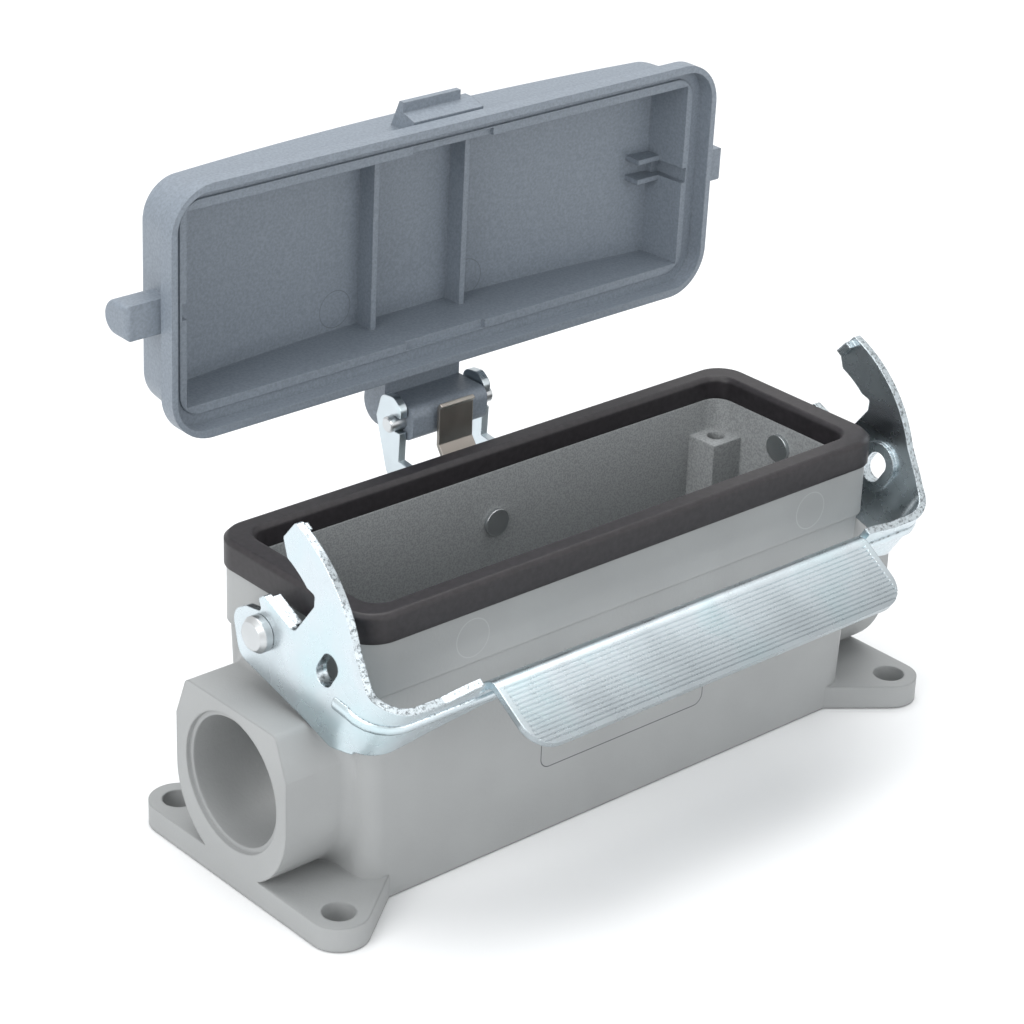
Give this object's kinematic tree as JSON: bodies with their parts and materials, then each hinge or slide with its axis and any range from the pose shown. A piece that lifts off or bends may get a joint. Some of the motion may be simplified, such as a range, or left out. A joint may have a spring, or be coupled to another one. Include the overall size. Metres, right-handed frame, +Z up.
{
  "type": "heavy duty rectangular connector housing",
  "caption": "Surface-mounted rectangular connector housing with side cable entry, rim gasket, hinged cover and over-centre locking lever.",
  "frame": {"origin": "centre of the mounting face, in the middle of the foot hole pattern", "axes": "+Z up out of the mounting face towards the open rim, +X along the housing away from the bored cable entry, +Y towards the cover hinge"},
  "size_m": [0.1426, 0.0901, 0.116],
  "materials": {
    "casting": "light grey powder coat on a die casting",
    "gasket": "matt black moulded rubber",
    "zinc_sheet": "bright zinc plating on pressed steel",
    "rivet_steel": "bright zinc plating",
    "bracket_steel": "zinc plating on pressed steel",
    "spring_steel": "plain stainless spring strip",
    "cover_plastic": "blue-grey moulded plastic, fine texture"
  },
  "bodies": {
    "housing_body": {"housing": "casting", "rim_gasket": "gasket", "lever_pivot_left": "rivet_steel", "lever_pivot_right": "rivet_steel", "hinge_bracket": "bracket_steel", "hinge_pin": "rivet_steel", "hinge_spring": "spring_steel", "bracket_rivet": "rivet_steel"},
    "lever": {"locking_lever": "zinc_sheet"},
    "cover": {"cover": "cover_plastic"}
  },
  "joints": [
    {"name": "lever_swing", "type": "hinge", "parent": "housing_body", "child": "lever", "pos_m": [0, 0, 0.0463], "axis": [-1, 0, 0], "range_deg": [0, 33]},
    {"name": "cover_swing", "type": "hinge", "parent": "housing_body", "child": "cover", "pos_m": [0, 0.0334, 0.057], "axis": [1, 0, 0], "range_deg": [0, 88.8]}
  ]
}
